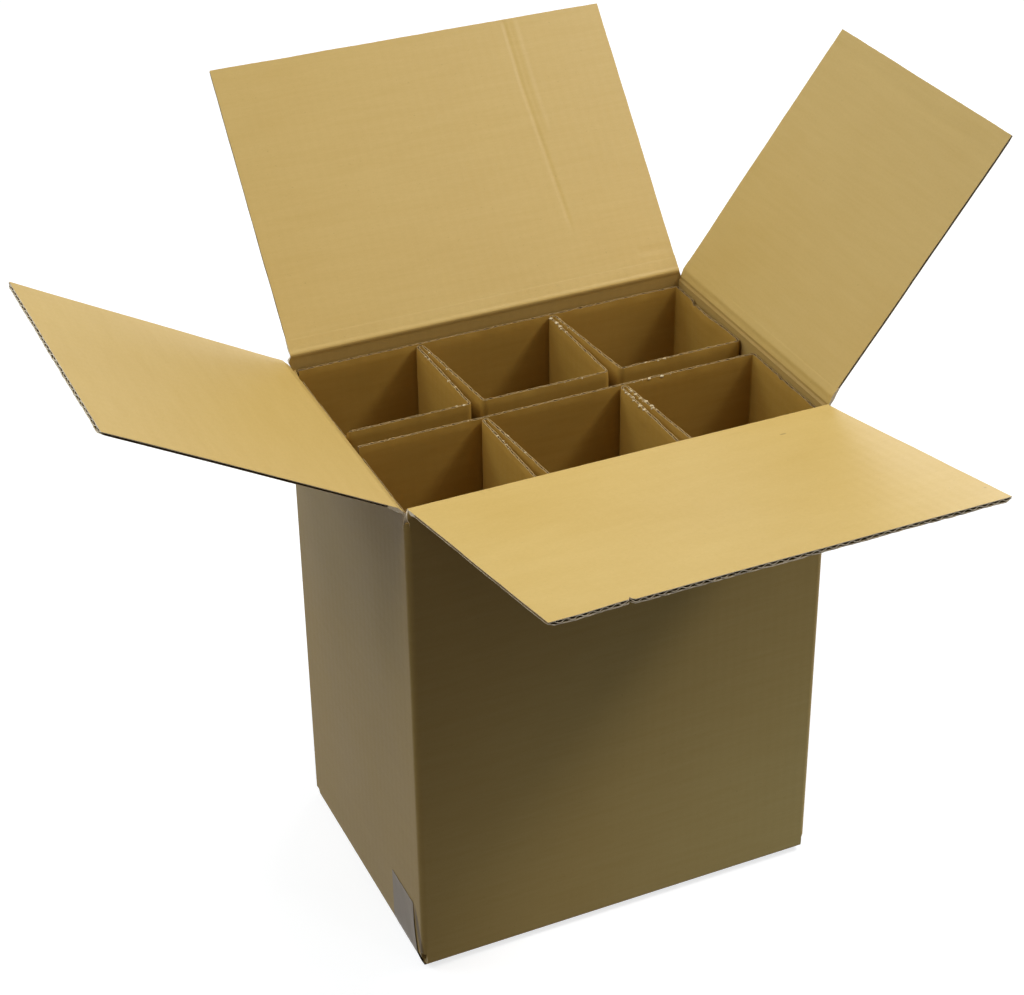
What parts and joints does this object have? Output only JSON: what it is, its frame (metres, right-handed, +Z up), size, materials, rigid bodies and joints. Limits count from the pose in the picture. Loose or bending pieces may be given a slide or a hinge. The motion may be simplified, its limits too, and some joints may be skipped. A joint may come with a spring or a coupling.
{
  "type": "bottle shipping box",
  "caption": "Open corrugated shipping carton for bottles, with long overlapping top flaps and folded board inserts that form square cells.",
  "frame": {"origin": "middle of the carton's underside", "axes": "+X along the long walls to the right, +Y from the front wall to the back wall, +Z up"},
  "size_m": [0.6286, 0.5689, 0.5606],
  "materials": {
    "carton_board": "brown kraft liner, matte",
    "insert_board": "brown recycled liner, matte",
    "tape": "thin packing tape, semi-gloss"
  },
  "bodies": {
    "carton": {"carton": "carton_board", "insert_back_row": "insert_board", "insert_front_row": "insert_board", "bottom_tape": "tape"},
    "flap_front": {"flap_front": "carton_board"},
    "flap_back": {"flap_back": "carton_board"},
    "flap_left": {"flap_left": "carton_board"},
    "flap_right": {"flap_right": "carton_board"}
  },
  "joints": [
    {"name": "flap_front_fold", "type": "hinge", "parent": "carton", "child": "flap_front", "pos_m": [0, -0.10726, 0.38881], "axis": [1, 0, 0], "range_deg": [-167.9, 57.1]},
    {"name": "flap_back_fold", "type": "hinge", "parent": "carton", "child": "flap_back", "pos_m": [0, 0.1075, 0.3928], "axis": [-1, 0, 0], "range_deg": [-131.2, 93.8]},
    {"name": "flap_left_fold", "type": "hinge", "parent": "carton", "child": "flap_left", "pos_m": [-0.1565, 0, 0.38505], "axis": [0, -1, 0], "range_deg": [-150.8, 74.2]},
    {"name": "flap_right_fold", "type": "hinge", "parent": "carton", "child": "flap_right", "pos_m": [0.15545, 0, 0.38775], "axis": [0, 1, 0], "range_deg": [-126.9, 98.1]}
  ]
}
